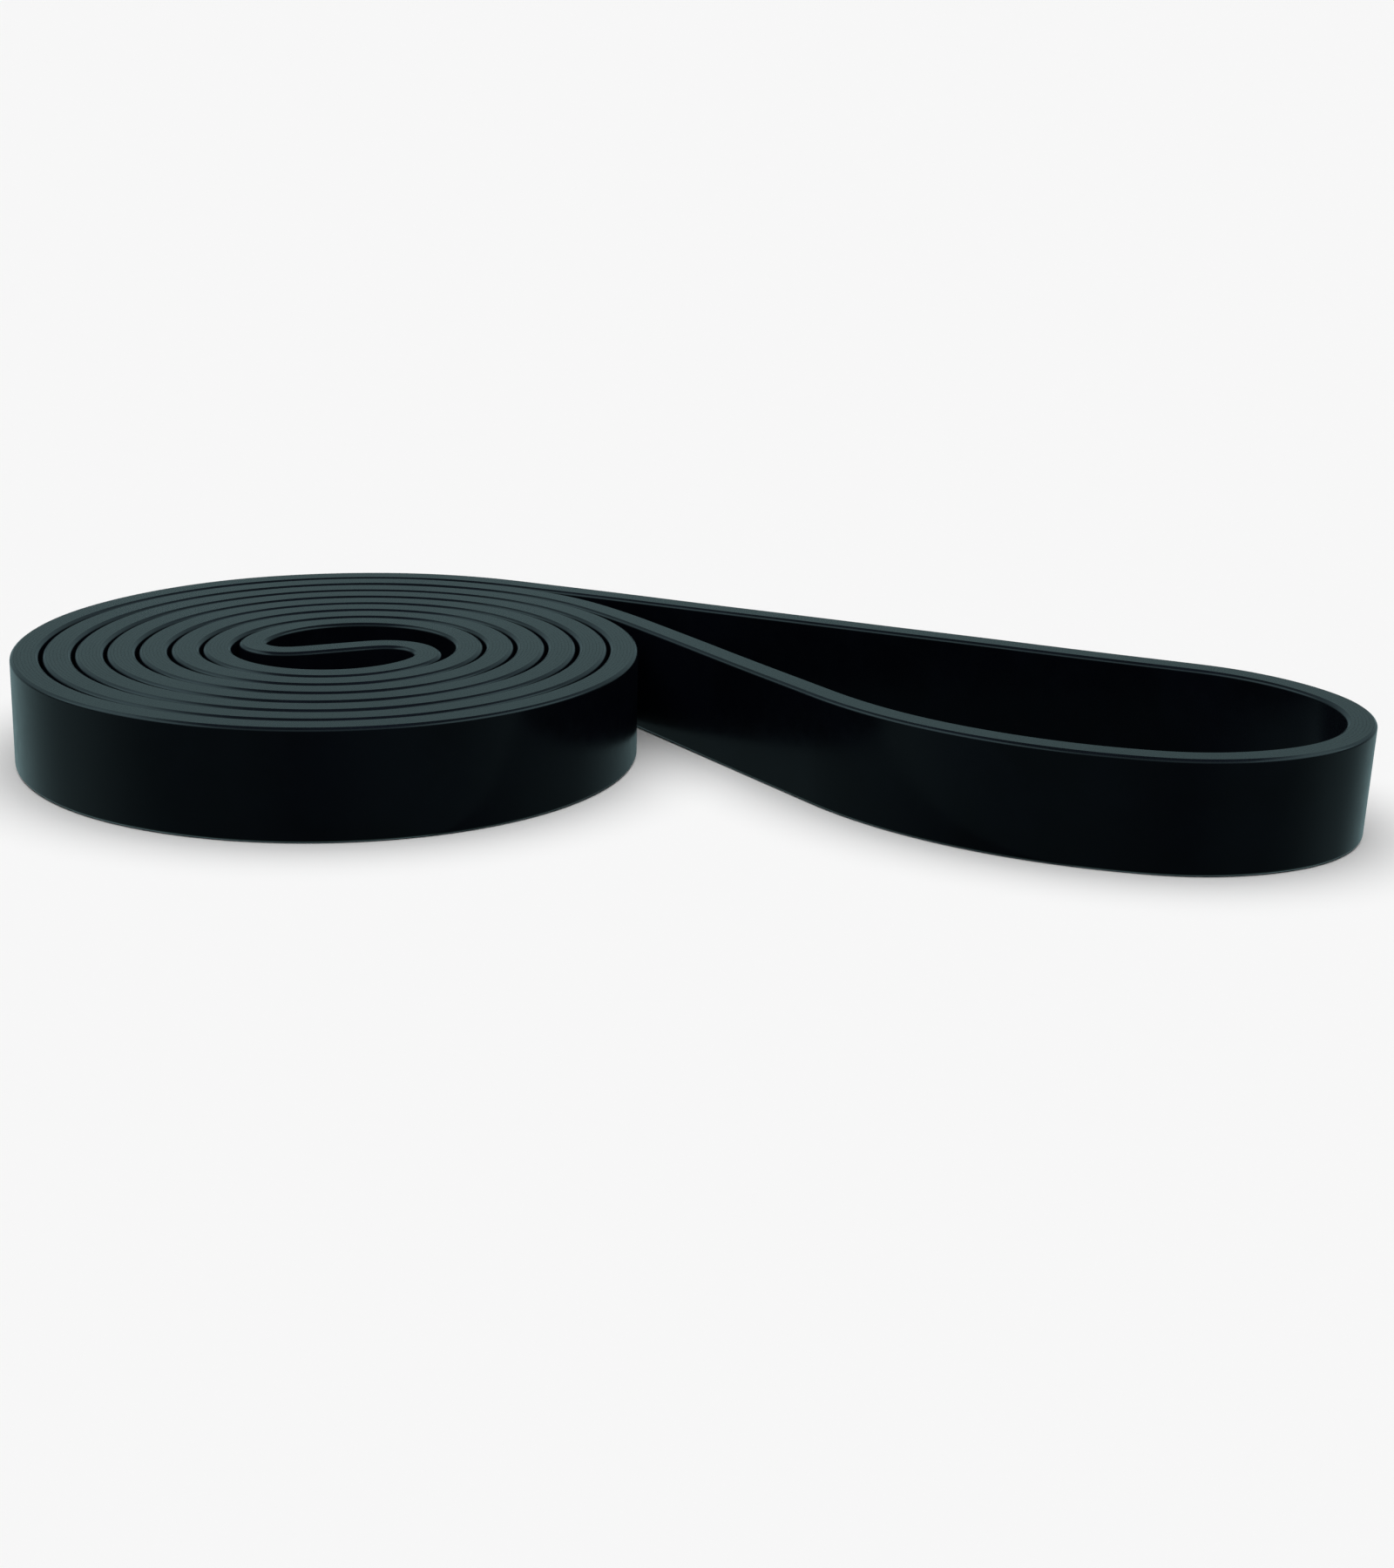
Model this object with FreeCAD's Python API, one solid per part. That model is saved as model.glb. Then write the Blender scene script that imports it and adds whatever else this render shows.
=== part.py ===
"""Flat resistance band: one endless loop of layered rubber, standing on its long edge.

The doubled loop is rolled up from one end into a coil of two arms, which meet in an S at the
coil's centre. What isn't rolled up stands open beside the coil as a teardrop-shaped eye.

The centreline lies in the XY plane. It is a closed chain of runs, each a straight or an arc and
each tangent to the next: outer arm, eye, inner arm, S. Every layer of rubber, or ply, is a closed
ribbon of constant thickness, which follows the chain at its own distance from it.

Units are millimetres. +Z is up, and the origin is the coil's centre on the standing plane.
"""

import FreeCAD
import Part
import math
import os

# The band's section: the plies lie face to face, and the outermost one on each side is rounded
WIDTH = 19.0
THICKNESS = 4.85
PLY_COUNT = 8
PLY_THICKNESS = THICKNESS / PLY_COUNT
EDGE_RADIUS = PLY_THICKNESS

# The coil: half-turns about two centres on the X axis, each one pitch wider than the last
LAYER_GAP = 0.6
PITCH = THICKNESS + LAYER_GAP
FIRST_RADIUS = 19.2

# Where each arm leaves the S and the coil: degrees about its half-turns' centres, clockwise
# as they fall, from the innermost half-turn to the outermost
OUTER_ARM = (-26.0, 65.0 - 4 * 360)
INNER_ARM = (169.5, 39.7 - 3 * 360)

# The eye's far end, clockwise from the back straight: degrees turned and radius
EYE_BENDS = ((40.0, 38.0), (84.5, 25.7), (41.5, 33.0), (45.5, 80.0))
LEAD_IN_RADIUS = 140.0

# The S: heading of its straight, in degrees from +X, and radius of the lobe at its right end
S_HEADING = 22.0
RIGHT_LOBE_RADIUS = 7.5

UP = FreeCAD.Vector(0, 0, 1)


def direction(degrees):
    """The unit vector in the XY plane that points this way."""
    angle = math.radians(degrees)
    return FreeCAD.Vector(math.cos(angle), math.sin(angle), 0)


def turn_between(heading, target):
    """The shorter turn from one heading to another, in degrees, with left positive."""
    return (target - heading + 180) % 360 - 180


class Run:
    """A straight of some length, or an arc of some radius that turns left (+) or right (-)."""

    def __init__(self, heading, turn, size=None):
        self.heading = heading
        self.turn = turn
        self.size = size
        self.start = None

    def end_heading(self):
        return self.heading + self.turn

    def reach(self):
        """From its start to its end, for a size of 1."""
        if self.turn == 0:
            return direction(self.heading)
        side = math.copysign(90, self.turn)
        return direction(self.heading + side) - direction(self.end_heading() + side)

    def end(self):
        return self.start + self.reach() * self.size

    def centre(self):
        side = math.copysign(90, self.turn)
        return self.start + direction(self.heading + side) * self.size

    def length(self):
        if self.turn == 0:
            return self.size
        return self.size * math.radians(abs(self.turn))

    def reverse(self):
        """The same run, travelled the other way."""
        other = Run(self.end_heading() + 180, -self.turn, self.size)
        other.start = self.end()
        return other

    def sweep(self, section):
        """Carry a section, drawn at the run's start, along the run."""
        if self.turn == 0:
            return section.extrude(direction(self.heading) * self.size)
        axis = UP * math.copysign(1, self.turn)
        return section.revolve(self.centre(), axis, abs(self.turn))


def coil_arm(limits):
    """One arm of the coil from the inside out: half-turns that meet on the X axis."""
    angle, last_angle = limits
    radius = FIRST_RADIUS
    runs = []
    while angle > last_angle:
        half = math.ceil(angle / 180) - 1
        side = 1 if half % 2 == 0 else -1
        stop = max(half * 180, last_angle)
        run = Run(angle - 90, stop - angle, radius)
        run.start = FreeCAD.Vector(side * PITCH / 2, 0, 0) + direction(angle) * radius
        runs.append(run)
        angle = stop
        radius += PITCH
    return runs


def join(runs, start, end):
    """Place a chain from start to end, and work out the two sizes that it leaves open."""
    gap = end - start
    for run in runs:
        if run.size is not None:
            gap -= run.reach() * run.size
    one, two = [run for run in runs if run.size is None]
    a, b = one.reach(), two.reach()
    area = a.x * b.y - a.y * b.x
    one.size = (gap.x * b.y - gap.y * b.x) / area
    two.size = (a.x * gap.y - a.y * gap.x) / area
    for run in runs:
        run.start = start
        start = run.end()
    return runs


def eye(before, after):
    """The open end of the loop: back straight, far end, front straight and lead-in bend."""
    runs = [Run(before.end_heading(), 0)]
    for turn, radius in EYE_BENDS:
        runs.append(Run(runs[-1].end_heading(), -turn, radius))
    front_heading = runs[-1].end_heading()
    runs.append(Run(front_heading, 0))
    lead_in = turn_between(front_heading, after.heading)
    runs.append(Run(front_heading, lead_in, LEAD_IN_RADIUS))
    return join(runs, before.end(), after.start)


def s_bend(before, after):
    """The S at the coil's centre: a lobe, a straight, and a lobe that turns the other way."""
    left_turn = turn_between(before.end_heading(), S_HEADING)
    right_turn = turn_between(S_HEADING, after.heading)
    runs = [
        Run(before.end_heading(), left_turn),
        Run(S_HEADING, 0),
        Run(S_HEADING, right_turn, RIGHT_LOBE_RADIUS),
    ]
    return join(runs, before.end(), after.start)


def centreline():
    """The whole loop, clockwise as seen from above."""
    outwards = coil_arm(OUTER_ARM)
    inwards = [run.reverse() for run in reversed(coil_arm(INNER_ARM))]
    runs = outwards + eye(outwards[-1], inwards[0])
    return runs + inwards + s_bend(inwards[-1], outwards[0])


def edge_drop(offset):
    """How far the long edge's rounding lies inside the full width, at this offset."""
    depth = THICKNESS / 2 - abs(offset)
    depth = min(max(depth, 0), EDGE_RADIUS)
    return EDGE_RADIUS - math.sqrt(depth * (2 * EDGE_RADIUS - depth))


def ply_section(index, run):
    """The closed outline of one ply, across the start of a run; ply 0 is inside the loop."""
    right = index * PLY_THICKNESS - THICKNESS / 2
    left = right + PLY_THICKNESS
    across = direction(run.heading + 90)

    def point(offset, top):
        drop = edge_drop(offset)
        height = WIDTH - drop if top else drop
        return run.start + across * offset + UP * height

    def long_edge(top):
        rounded = index in (0, PLY_COUNT - 1)
        ends = [point(right, top), point(left, top)]
        if rounded:
            middle = point((left + right) / 2, top)
            return Part.Arc(ends[0], middle, ends[1]).toShape()
        return Part.makeLine(*ends)

    def side(offset):
        return Part.makeLine(point(offset, False), point(offset, True))

    return Part.Wire([long_edge(False), side(left), long_edge(True), side(right)])


def ply(index, runs):
    """One closed ribbon of rubber."""
    faces = []
    for run in runs:
        faces += run.sweep(ply_section(index, run)).Faces
    skin = Part.Compound(faces)
    skin.sewShape()
    return Part.Solid(skin.Shells[0])


def ply_name(index):
    if index == 0:
        return "inner_skin"
    if index == PLY_COUNT - 1:
        return "outer_skin"
    return f"ply_{index + 1:02d}"


os.makedirs("parts", exist_ok=True)
loop = centreline()
for number in range(PLY_COUNT):
    ply(number, loop).exportStep(f"parts/{ply_name(number)}.step")

print(f"thickness {THICKNESS:.2f}, round the centreline {sum(run.length() for run in loop):.1f}")
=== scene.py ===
# The looks of the rolled resistance band: eight bonded plies of black rubber, each swept round the
# whole loop as one smooth ribbon that stands for the CAD ply of the same name.
#
# The route repeats the CAD design's chain of arcs and straights, in metres. Points in the plan
# are complex numbers, x + yj, so that a heading is a unit number and its left is that times 1j.

import cmath
import math

import bpy
import numpy as np
from mathutils import Matrix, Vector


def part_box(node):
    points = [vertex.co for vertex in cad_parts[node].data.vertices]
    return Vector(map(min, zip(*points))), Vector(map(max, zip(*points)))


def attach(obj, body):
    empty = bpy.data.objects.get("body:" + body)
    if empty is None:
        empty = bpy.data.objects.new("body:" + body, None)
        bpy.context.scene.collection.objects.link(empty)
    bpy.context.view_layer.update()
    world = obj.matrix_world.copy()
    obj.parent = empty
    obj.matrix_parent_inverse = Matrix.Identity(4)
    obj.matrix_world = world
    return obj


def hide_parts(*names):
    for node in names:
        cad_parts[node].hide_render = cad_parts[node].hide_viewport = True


MM = 0.001

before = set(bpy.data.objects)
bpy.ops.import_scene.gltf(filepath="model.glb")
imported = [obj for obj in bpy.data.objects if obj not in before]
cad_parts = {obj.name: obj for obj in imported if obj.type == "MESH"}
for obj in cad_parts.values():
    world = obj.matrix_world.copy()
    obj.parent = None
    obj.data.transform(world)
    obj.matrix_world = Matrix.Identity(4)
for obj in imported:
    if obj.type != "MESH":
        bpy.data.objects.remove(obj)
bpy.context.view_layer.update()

# The band's section. The plies' order runs from the loop's inside, on the route's right, outwards
PLY_NODES = ["inner_skin"] + [f"ply_{number:02d}" for number in range(2, 8)] + ["outer_skin"]
THICKNESS = 4.85 * MM
PLY_THICKNESS = THICKNESS / len(PLY_NODES)
STANDING_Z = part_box("ply_05")[0].z
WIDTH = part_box("ply_05")[1].z - STANDING_Z

# The route, as in the CAD design
LAYER_GAP = 0.6 * MM
PITCH = THICKNESS + LAYER_GAP
FIRST_RADIUS = 19.2 * MM
OUTER_ARM = (-26.0, 65.0 - 4 * 360)
INNER_ARM = (169.5, 39.7 - 3 * 360)
EYE_BENDS = ((40.0, 38.0 * MM), (84.5, 25.7 * MM), (41.5, 33.0 * MM), (45.5, 80.0 * MM))
LEAD_IN_RADIUS = 140.0 * MM
S_HEADING = 22.0
RIGHT_LOBE_RADIUS = 7.5 * MM

# How finely the ribbons follow the route, and over what length its bends are eased
STATION_STEP = 0.75 * MM
EASING = 2.5 * MM

# The small unevenness of a soft band that was rolled by hand: waves round the loop sideways and
# upwards, and the eye's far end, which leans outwards
SEED = 41
SWAY = 0.07 * MM
SWAY_WAVES = (11, 17, 29, 43)
LIFT = 0.10 * MM
LIFT_WAVES = (7, 13, 31, 53)
LEAN = 0.9 * MM
LEAN_SPREAD = 28.0 * MM

# The skins' outer corners: a narrow bevel falls off the flat long edge, and a round follows it
BEVEL_ANGLE = math.radians(32)
BEVEL_LENGTH = 0.36 * MM
ROUND_RADIUS = 0.55 * MM
ROUND_STEPS = 8

# Every seam's worn corners on the long edge, and the angle above which an edge is shaded sharp
SEAM_WEAR = 0.018 * MM
SEAM_DEPTH = 0.025 * MM
SHARP_ANGLE = math.radians(28)

# The rubber's colours, and how often its patterns repeat in a metre
SIDE_COLOUR = (0.0025, 0.0034, 0.0068)
SKIN_EDGE_COLOUR = (0.0032, 0.0042, 0.0050)
CORE_EDGE_COLOUR = (0.0034, 0.0045, 0.0053)
GRAIN_SCALE, FLECK_SCALE, LINE_SCALE = 3200.0, 1500.0, 2600.0
PATCH_SCALE, CLOUD_SCALE = 320.0, 55.0

# The lines that run along the loop: how much longer than wide, and each ply's own place in them
LINE_STRETCH = 30.0
PLY_SHIFT = 0.05

# The studio's bright parts: strengths, and where each begins and ends. A place in the studio is
# one component of the direction to it: rearward (Y), upward (Z) or the size of sideward (X)
STUDIO_TINT = (0.62, 0.95, 1.0)
FRONT_FLOOR, SIDE_FLOOR, REAR_FLOOR = 0.035, 0.152, 0.42
SIDE_FLOOR_REARWARD, REAR_FLOOR_REARWARD = (-0.65, 0.1), (0.2, 1.0)
SIDE_GLOW, SIDE_GLOW_SIDEWARD = 0.026, (0.05, 0.45)
DARK_WALL, REAR_WALL = 0.03, 0.30
REAR_WALL_REARWARD = (0.35, 0.85)
DOME, ZENITH = 0.22, 0.06
DOME_UPWARD, ZENITH_UPWARD = (0.08, 0.26), (0.42, 0.58)
FRONT_BOX, FRONT_BOX_REARWARD = 0.40, (-0.55, -0.25)
SIDE_BOX, REAR_SIDE_BOX = 1.1, 0.40
SIDE_BOX_REARWARD, SIDE_BOX_SIDEWARD = (0.35, 0.55), (0.38, 0.58)
BOXES_UPWARD = (0.28, 0.42)
HORIZON_UPWARD = (-0.02, 0.02)

# The backdrop, the floor's colour and half its side, and the lamp
BACKDROP = 0.93
FLOOR_COLOUR = 0.90
FLOOR_REACH = 30.0
LAMP_STRENGTH = 3.25
LAMP_ANGLE = math.radians(90)

# The floor's unseen patches of painted shade, which only the rubber's reflections show: how dark they
# are, how far the one under the coil reaches and how many corners it has, and how many of the route's
# stations lie between two corners of the others
COIL_SHADE, EYE_SHADE, NOTCH_SHADE = 0.9, 0.6, 0.5
SHADED_RADIUS = 47 * MM
COIL_CORNERS = 48
STATIONS_PER_CORNER = 8

# The camera: its lens and sensor in millimetres, and where it stands and how it is turned
LENS, SENSOR_WIDTH = 71.4, 36.0
CAMERA_PLACE = (0.06237, -0.47084, 0.13653)
CAMERA_PITCH = math.radians(16.757)
CAMERA_ROLL = math.radians(0.992)


def direction(degrees):
    """The unit number that points this way."""
    angle = math.radians(degrees)
    return complex(math.cos(angle), math.sin(angle))


def turn_between(heading, target):
    """The shorter turn from one heading to another, in degrees, with left positive."""
    return (target - heading + 180) % 360 - 180


def cross(a, b):
    """The area that two plan vectors span, positive where b lies to the left of a."""
    return (a.conjugate() * b).imag


class Run:
    """A straight of some length, or an arc of some radius that turns left (+) or right (-)."""

    def __init__(self, heading, turn, size=None):
        self.heading = heading
        self.turn = turn
        self.size = size
        self.start = None

    def reach(self):
        """From its start to its end, for a size of 1."""
        if self.turn == 0:
            return direction(self.heading)
        side = math.copysign(90, self.turn)
        return direction(self.heading + side) - direction(self.end_heading() + side)

    def end_heading(self):
        return self.heading + self.turn

    def end(self):
        return self.start + self.reach() * self.size

    def length(self):
        if self.turn == 0:
            return self.size
        return self.size * math.radians(abs(self.turn))

    def point(self, distance):
        """The point that lies this far along it."""
        if self.turn == 0:
            return self.start + direction(self.heading) * distance
        share = distance / self.length()
        part = Run(self.heading, self.turn * share, self.size)
        return self.start + part.reach() * self.size if share > 0 else self.start

    def reverse(self):
        """The same run, travelled the other way."""
        other = Run(self.end_heading() + 180, -self.turn, self.size)
        other.start = self.end()
        return other


def coil_arm(limits):
    """One arm of the coil from the inside out: half-turns that meet on the X axis."""
    angle, last_angle = limits
    radius = FIRST_RADIUS
    runs = []
    while angle > last_angle:
        half = math.ceil(angle / 180) - 1
        side = 1 if half % 2 == 0 else -1
        stop = max(half * 180, last_angle)
        run = Run(angle - 90, stop - angle, radius)
        run.start = side * PITCH / 2 + direction(angle) * radius
        runs.append(run)
        angle = stop
        radius += PITCH
    return runs


def join(runs, start, end):
    """Place a chain from start to end, and work out the two sizes that it leaves open."""
    gap = end - start
    for run in runs:
        if run.size is not None:
            gap -= run.reach() * run.size
    one, two = [run for run in runs if run.size is None]
    a, b = one.reach(), two.reach()
    one.size = cross(gap, b) / cross(a, b)
    two.size = cross(a, gap) / cross(a, b)
    for run in runs:
        run.start = start
        start = run.end()
    return runs


def eye(before, after):
    """The open end of the loop: back straight, far end, front straight and lead-in bend."""
    runs = [Run(before.end_heading(), 0)]
    for turn, radius in EYE_BENDS:
        runs.append(Run(runs[-1].end_heading(), -turn, radius))
    front_heading = runs[-1].end_heading()
    runs.append(Run(front_heading, 0))
    lead_in = turn_between(front_heading, after.heading)
    runs.append(Run(front_heading, lead_in, LEAD_IN_RADIUS))
    return join(runs, before.end(), after.start)


def s_bend(before, after):
    """The S at the coil's centre: a lobe, a straight, and a lobe that turns the other way."""
    left_turn = turn_between(before.end_heading(), S_HEADING)
    right_turn = turn_between(S_HEADING, after.heading)
    runs = [
        Run(before.end_heading(), left_turn),
        Run(S_HEADING, 0),
        Run(S_HEADING, right_turn, RIGHT_LOBE_RADIUS),
    ]
    return join(runs, before.end(), after.start)


def centreline():
    """The whole loop, clockwise as seen from above."""
    outwards = coil_arm(OUTER_ARM)
    inwards = [run.reverse() for run in reversed(coil_arm(INNER_ARM))]
    runs = outwards + eye(outwards[-1], inwards[0])
    return runs + inwards + s_bend(inwards[-1], outwards[0])


def even_stations(runs):
    """Points at even distances round the loop, and the loop's length."""
    total = sum(run.length() for run in runs)
    count = round(total / STATION_STEP)
    points = []
    passed = 0.0
    for run in runs:
        while len(points) < count and len(points) * total / count < passed + run.length():
            points.append(run.point(len(points) * total / count - passed))
        passed += run.length()
    return np.array(points), total


def eased(points, total):
    """The same closed route with its curvature changing gradually where two runs meet."""
    frequency = np.fft.fftfreq(len(points), total / len(points))
    blur = np.exp(-2 * (math.pi * frequency * EASING) ** 2)
    return np.fft.ifft(np.fft.fft(points) * (2 * blur - blur**2))


def ripple(rng, count, waves):
    """A smooth closed curve of heights between about -1 and 1, one for each station."""
    share = np.arange(count) / count
    total = np.zeros(count)
    for wave in waves:
        total += np.sin(2 * math.pi * (wave * share + rng.random()))
    return total / len(waves)


def outer_corner():
    """A skin's outer corner, from its side up to the long edge: insets, drops and cut marks."""
    bevel_drop = BEVEL_LENGTH * math.sin(BEVEL_ANGLE)
    points = []
    for step in range(ROUND_STEPS + 1):
        angle = math.pi / 2 - (math.pi / 2 - BEVEL_ANGLE) * step / ROUND_STEPS
        inset = ROUND_RADIUS * (1 - math.sin(angle))
        drop = bevel_drop + ROUND_RADIUS * (math.cos(BEVEL_ANGLE) - math.cos(angle))
        points.append((inset, drop, 0.0))
    points.append((inset + BEVEL_LENGTH * math.cos(BEVEL_ANGLE), 0.0, 1.0))
    return points


def seam_corner():
    """A ply's corner at a seam, from its side up to the long edge."""
    return [(0.0, SEAM_DEPTH, 1.0), (SEAM_WEAR, 0.0, 1.0)]


def section(index):
    """A ply's closed outline, anticlockwise as seen looking along the route: offset, height, cut."""
    right = index * PLY_THICKNESS - THICKNESS / 2
    left = right + PLY_THICKNESS
    right_corner = outer_corner() if index == 0 else seam_corner()
    left_corner = outer_corner() if index == len(PLY_NODES) - 1 else seam_corner()
    edge = [(right + inset, drop, cut) for inset, drop, cut in right_corner]
    edge += [(left - inset, drop, cut) for inset, drop, cut in reversed(left_corner)]
    upper_edge = [(offset, WIDTH - drop, cut) for offset, drop, cut in reversed(edge)]
    return np.array(edge + upper_edge)


def add_values(mesh, name, kind, field, values):
    """Store a number or a vector on every point of a mesh, for its material to read."""
    attribute = mesh.attributes.new(name, kind, "POINT")
    attribute.data.foreach_set(field, np.asarray(values, np.float32).ravel())


def add_object(data):
    """Put a mesh, lamp or camera into the scene under its own name."""
    added = bpy.data.objects.new(data.name, data)
    bpy.context.scene.collection.objects.link(added)
    return added


def line_places(index, outline, stations, total):
    """Where each point of a ply samples the pattern of lines: round a ring, which stands for the
    whole loop made shorter, and up by the distance travelled round the section."""
    offsets, heights, _ = outline.T
    sideways = np.abs(np.diff(offsets, prepend=offsets[0]))
    upwards = np.abs(np.diff(heights, prepend=heights[0]))
    around = np.cumsum(sideways + upwards)
    angle = 2 * math.pi * np.arange(stations) / stations
    radius = total / (2 * math.pi * LINE_STRETCH)
    places = np.empty((stations, len(outline), 3))
    places[:, :, 0] = (radius * np.cos(angle))[:, None]
    places[:, :, 1] = (radius * np.sin(angle))[:, None]
    places[:, :, 2] = around[None, :] + PLY_SHIFT * index
    return places


def ribbon(index, route, across, lift, lean, total):
    """One ply as a closed ribbon of quads, with what its material needs on every point."""
    outline = section(index)
    stations, corners = len(route), len(outline)
    offsets, heights, cuts = outline.T
    leaning = lean[:, None] * (heights / WIDTH - 0.5)
    plan = route[:, None] + across[:, None] * (offsets + leaning)
    height = STANDING_Z + heights[None, :] + lift[:, None]
    height = np.maximum(height, STANDING_Z)
    co = np.stack([plan.real, plan.imag, height], axis=2).reshape(-1, 3)

    station = np.arange(stations)[:, None] * corners
    following = (np.arange(stations)[:, None] + 1) % stations * corners
    corner = np.arange(corners)[None, :]
    beside = (corner + 1) % corners
    quads = np.stack([station + corner, following + corner, following + beside, station + beside], 2)

    mesh = bpy.data.meshes.new(PLY_NODES[index] + "_rubber")
    mesh.from_pydata(co.tolist(), [], quads.reshape(-1, 4).tolist())
    mesh.polygons.foreach_set("use_smooth", np.ones(len(mesh.polygons), bool))
    mesh.set_sharp_from_angle(angle=SHARP_ANGLE)
    add_values(mesh, "cut", "FLOAT", "value", np.tile(cuts, stations))
    add_values(mesh, "streak", "FLOAT_VECTOR", "vector", line_places(index, outline, stations, total))
    return add_object(mesh)


class Nodes:
    """An empty node tree of a material or a world, and short ways to fill it. A value is either a
    number, a vector or colour, or another node's output."""

    def __init__(self, owner):
        owner.use_nodes = True
        self.tree = owner.node_tree
        self.tree.nodes.clear()

    def add(self, kind, **settings):
        node = self.tree.nodes.new(kind)
        for key, value in settings.items():
            setattr(node, key, value)
        return node

    def plug(self, value, socket):
        if isinstance(value, bpy.types.NodeSocket):
            self.tree.links.new(value, socket)
        else:
            socket.default_value = value

    def attribute(self, name, output):
        return self.add("ShaderNodeAttribute", attribute_name=name).outputs[output]

    def noise(self, vector, scale, detail, roughness=0.5):
        node = self.add("ShaderNodeTexNoise")
        self.plug(vector, node.inputs["Vector"])
        node.inputs["Scale"].default_value = scale
        node.inputs["Detail"].default_value = detail
        node.inputs["Roughness"].default_value = roughness
        return node.outputs["Fac"]

    def ramp(self, value, low, high, to_low=0.0, to_high=1.0):
        node = self.add("ShaderNodeMapRange", interpolation_type="SMOOTHSTEP")
        self.plug(value, node.inputs["Value"])
        limits = {"From Min": low, "From Max": high, "To Min": to_low, "To Max": to_high}
        for key, number in limits.items():
            node.inputs[key].default_value = number
        return node.outputs["Result"]

    def math(self, operation, a, b):
        node = self.add("ShaderNodeMath", operation=operation)
        self.plug(a, node.inputs[0])
        self.plug(b, node.inputs[1])
        return node.outputs[0]

    def mix(self, factor, a, b):
        node = self.add("ShaderNodeMix", data_type="RGBA")
        self.plug(factor, node.inputs["Factor"])
        self.plug(a, node.inputs["A"])
        self.plug(b, node.inputs["B"])
        return node.outputs["Result"]

    def bump(self, height, distance, strength, normal=None):
        node = self.add("ShaderNodeBump")
        self.plug(height, node.inputs["Height"])
        node.inputs["Distance"].default_value = distance
        self.plug(strength, node.inputs["Strength"])
        if normal is not None:
            self.plug(normal, node.inputs["Normal"])
        return node.outputs["Normal"]

    def surface(self, shader, output="ShaderNodeOutputMaterial"):
        self.plug(shader, self.add(output).inputs["Surface"])


def scaled(colour, factor):
    """A colour made darker or lighter, with its alpha."""
    return [factor * channel for channel in colour] + [1.0]


def rubber(name, edge_colour):
    """Satin black latex rubber. Its cut long edges are a little greyer, grainier and lined."""
    material = bpy.data.materials.new(name)
    nodes = Nodes(material)
    place = nodes.add("ShaderNodeTexCoord").outputs["Object"]
    streak = nodes.attribute("streak", "Vector")
    cut = nodes.ramp(nodes.attribute("cut", "Fac"), 0.80, 1.0)

    grain = nodes.noise(place, GRAIN_SCALE, 3.0, 0.6)
    flecks = nodes.ramp(nodes.noise(place, FLECK_SCALE, 4.0, 0.65), 0.58, 0.74)
    cloud = nodes.noise(place, CLOUD_SCALE, 3.0, 0.55)
    lines = nodes.noise(streak, LINE_SCALE, 3.0, 0.6)
    patches = nodes.noise(place, PATCH_SCALE, 3.0)

    lined = nodes.ramp(lines, 0.30, 0.70)
    flecked = nodes.math("MULTIPLY", flecks, 0.35)
    clouded = nodes.ramp(cloud, 0.35, 0.75, 0.0, 0.18)
    edge = nodes.mix(lined, scaled(edge_colour, 0.78), scaled(edge_colour, 1.22))
    edge = nodes.mix(flecked, edge, scaled(edge_colour, 1.9))
    edge = nodes.mix(clouded, edge, scaled(edge_colour, 0.65))
    uneven = nodes.ramp(cloud, 0.35, 0.70)
    side = nodes.mix(uneven, scaled(SIDE_COLOUR, 0.8), scaled(SIDE_COLOUR, 1.35))

    rough = nodes.add("ShaderNodeMix", data_type="FLOAT")
    nodes.plug(cut, rough.inputs["Factor"])
    nodes.plug(nodes.ramp(patches, 0.3, 0.7, 0.20, 0.25), rough.inputs["A"])
    nodes.plug(nodes.ramp(grain, 0.3, 0.7, 0.20, 0.32), rough.inputs["B"])

    normal = nodes.bump(grain, 0.02 * MM, nodes.ramp(cut, 0.0, 1.0, 0.05, 0.20))
    normal = nodes.bump(lines, 0.03 * MM, nodes.math("MULTIPLY", cut, 0.12), normal)

    shader = nodes.add("ShaderNodeBsdfPrincipled")
    nodes.plug(nodes.mix(cut, side, edge), shader.inputs["Base Color"])
    nodes.plug(rough.outputs["Result"], shader.inputs["Roughness"])
    nodes.plug(normal, shader.inputs["Normal"])
    shader.inputs["IOR"].default_value = 1.5
    shader.inputs["Specular IOR Level"].default_value = 0.5
    nodes.surface(shader.outputs["BSDF"])
    return material


def build_band():
    """All plies on one eased, slightly uneven route, which it returns."""
    rng = np.random.default_rng(SEED)
    stations, total = even_stations(centreline())
    route = eased(stations, total)
    forward = np.roll(route, -1) - np.roll(route, 1)
    across = 1j * forward / np.abs(forward)
    route = route + across * SWAY * ripple(rng, len(route), SWAY_WAVES)
    lift = LIFT * (1 + ripple(rng, len(route), LIFT_WAVES)) / 2
    past_far_end = (np.arange(len(route)) - np.argmax(route.real)) * total / len(route)
    lean = LEAN * np.exp(-((past_far_end / LEAN_SPREAD) ** 2))

    skin = rubber("skin_rubber", SKIN_EDGE_COLOUR)
    core = rubber("core_rubber", CORE_EDGE_COLOUR)
    for index, node in enumerate(PLY_NODES):
        piece = ribbon(index, route, across, lift, lean, total)
        is_skin = node.endswith("skin")
        piece.data.materials.append(skin if is_skin else core)
        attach(piece, "root")
        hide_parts(node)
    return route


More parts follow.
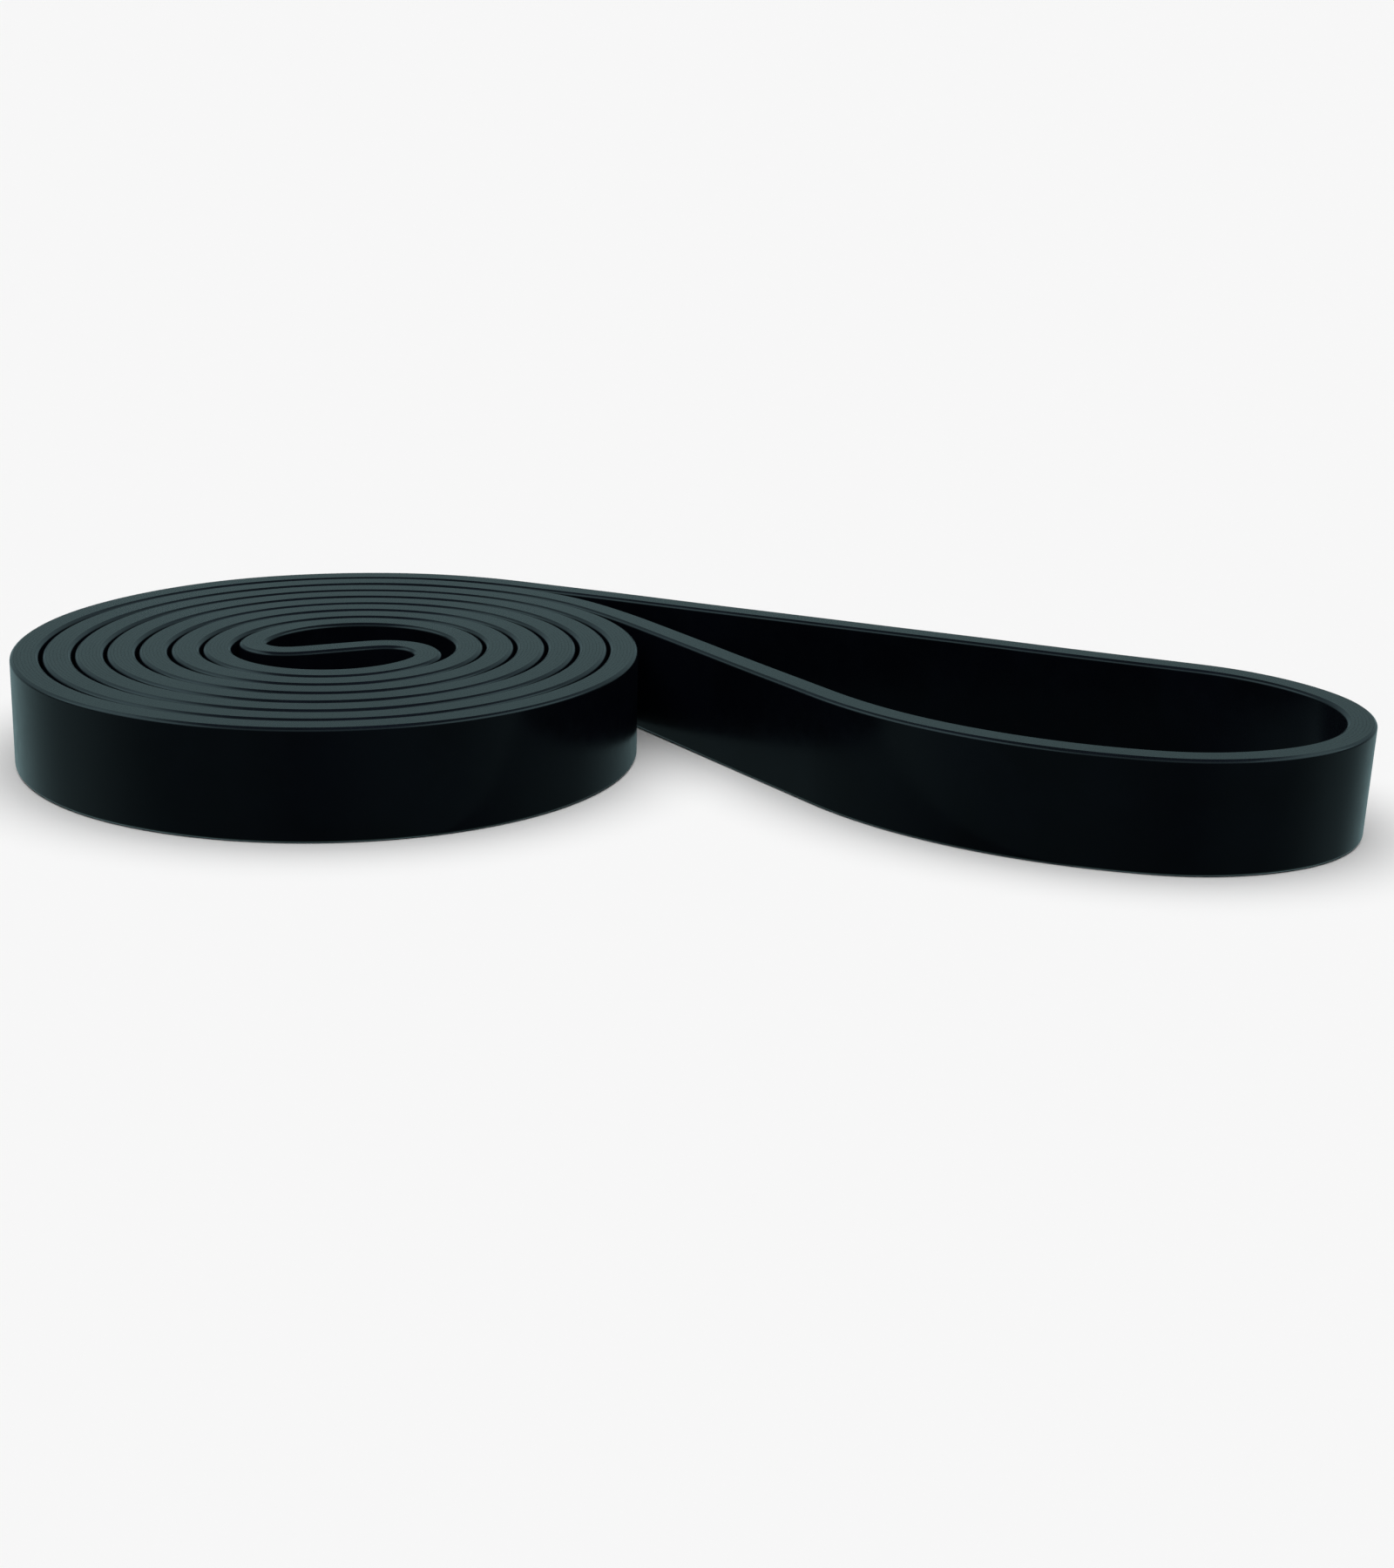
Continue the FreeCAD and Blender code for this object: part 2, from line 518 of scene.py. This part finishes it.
def build_floor():
    """A plain pale floor. It shows in the picture, and the black sides don't pick it up."""
    mesh = bpy.data.meshes.new("floor")
    x = y = FLOOR_REACH
    mesh.from_pydata([(-x, -y, 0), (x, -y, 0), (x, y, 0), (-x, y, 0)], [], [(0, 1, 2, 3)])
    floor = add_object(mesh)
    floor.location.z = STANDING_Z
    material = bpy.data.materials.new("floor")
    nodes = Nodes(material)
    shader = nodes.add("ShaderNodeBsdfDiffuse")
    shader.inputs["Color"].default_value = (FLOOR_COLOUR, FLOOR_COLOUR, FLOOR_COLOUR, 1.0)
    nodes.surface(shader.outputs["BSDF"])
    mesh.materials.append(material)
    floor.visible_diffuse = False
    floor.visible_glossy = False


def shade(name, outline, depth):
    """A patch of painted shade on the floor: a tinted clear sheet that darkens the floor as the
    rubber reflects it, and that the camera doesn't see.
    """
    mesh = bpy.data.meshes.new(name)
    points = [(point.real, point.imag, STANDING_Z) for point in outline]
    mesh.from_pydata(points, [], [list(range(len(points)))])
    patch = add_object(mesh)
    material = bpy.data.materials.new(name)
    nodes = Nodes(material)
    clear = nodes.add("ShaderNodeBsdfTransparent")
    clear.inputs["Color"].default_value = (1 - depth, 1 - depth, 1 - depth, 1.0)
    nodes.surface(clear.outputs["BSDF"])
    mesh.materials.append(material)
    patch.visible_camera = False
    patch.visible_diffuse = False
    patch.visible_shadow = False


def build_shades(route):
    """Painted shade in the rubber's reflections of the floor: dark under the coil, and dim inside the
    eye and in the notch before the eye.
    """
    turn = 2 * math.pi / COIL_CORNERS
    coil = [cmath.rect(SHADED_RADIUS, turn * number) for number in range(COIL_CORNERS)]
    eye = [point for point in route[::STATIONS_PER_CORNER] if abs(point) > SHADED_RADIUS]
    nearest = min(range(len(eye)), key=lambda number: eye[number].imag)
    notch = eye[nearest:] + [0j, -1j * SHADED_RADIUS]
    shade("coil_shade", coil, COIL_SHADE)
    shade("eye_shade", eye, EYE_SHADE)
    shade("notch_shade", notch, NOTCH_SHADE)


def build_world():
    """A pale backdrop, and the cool studio that the rubber reflects: a floor and a rear wall that
    brighten towards the back, a dome that is dark overhead, and softboxes in front and beside."""
    world = bpy.data.worlds.new("studio")
    nodes = Nodes(world)
    parts = nodes.add("ShaderNodeSeparateXYZ")
    nodes.plug(nodes.add("ShaderNodeTexCoord").outputs["Generated"], parts.inputs[0])
    sideward = nodes.math("ABSOLUTE", parts.outputs["X"], 0.0)
    rearward, upward = parts.outputs["Y"], parts.outputs["Z"]

    floor = nodes.ramp(rearward, *SIDE_FLOOR_REARWARD, FRONT_FLOOR, SIDE_FLOOR)
    rear_floor = nodes.ramp(rearward, *REAR_FLOOR_REARWARD, 0.0, REAR_FLOOR - SIDE_FLOOR)
    side_glow = nodes.ramp(sideward, *SIDE_GLOW_SIDEWARD, 0.0, SIDE_GLOW)
    floor = nodes.math("ADD", nodes.math("ADD", floor, rear_floor), side_glow)

    wall = nodes.ramp(rearward, *REAR_WALL_REARWARD, DARK_WALL, REAR_WALL)
    dome = nodes.ramp(upward, *DOME_UPWARD, 0.0, DOME)
    dome = nodes.math("SUBTRACT", dome, nodes.ramp(upward, *ZENITH_UPWARD, 0.0, DOME - ZENITH))
    front_box = nodes.ramp(rearward, *FRONT_BOX_REARWARD, FRONT_BOX, 0.0)
    side_box = nodes.ramp(rearward, *SIDE_BOX_REARWARD, SIDE_BOX, REAR_SIDE_BOX)
    side_box = nodes.math("MULTIPLY", side_box, nodes.ramp(sideward, *SIDE_BOX_SIDEWARD))
    boxes = nodes.math("MAXIMUM", front_box, side_box)
    boxes = nodes.math("MULTIPLY", boxes, nodes.ramp(upward, *BOXES_UPWARD))
    above = nodes.math("MAXIMUM", nodes.math("MAXIMUM", wall, dome), boxes)

    is_above = nodes.ramp(upward, *HORIZON_UPWARD)
    floor_part = nodes.math("MULTIPLY", floor, nodes.math("SUBTRACT", 1.0, is_above))
    light = nodes.math("ADD", floor_part, nodes.math("MULTIPLY", above, is_above))

    studio = nodes.add("ShaderNodeBackground")
    studio.inputs["Color"].default_value = STUDIO_TINT + (1.0,)
    nodes.plug(light, studio.inputs["Strength"])
    backdrop = nodes.add("ShaderNodeBackground")
    backdrop.inputs["Color"].default_value = (BACKDROP, BACKDROP, BACKDROP, 1.0)
    shown = nodes.add("ShaderNodeMixShader")
    nodes.plug(nodes.add("ShaderNodeLightPath").outputs["Is Camera Ray"], shown.inputs[0])
    nodes.plug(studio.outputs[0], shown.inputs[1])
    nodes.plug(backdrop.outputs[0], shown.inputs[2])
    nodes.surface(shown.outputs[0], "ShaderNodeOutputWorld")
    bpy.context.scene.world = world
    world.cycles_visibility.diffuse = False


def build_lamp():
    """Soft even light from overhead. Its reflection is the dome's part, so it gives none."""
    data = bpy.data.lights.new("overhead", "SUN")
    data.energy = LAMP_STRENGTH
    data.angle = LAMP_ANGLE
    add_object(data).visible_glossy = False


def build_camera():
    """In front of the band and a little above it, with a touch of roll."""
    data = bpy.data.cameras.new("camera")
    data.sensor_fit = "HORIZONTAL"
    data.sensor_width = SENSOR_WIDTH
    data.lens = LENS
    camera = add_object(data)
    tilt = Matrix.Rotation(math.pi / 2 - CAMERA_PITCH, 4, "X")
    roll = Matrix.Rotation(CAMERA_ROLL, 4, "Z")
    camera.matrix_world = Matrix.Translation(CAMERA_PLACE) @ (tilt @ roll)
    bpy.context.scene.camera = camera


bpy.context.scene.view_settings.view_transform = "Standard"
route = build_band()
build_floor()
build_shades(route)
build_world()
build_lamp()
build_camera()
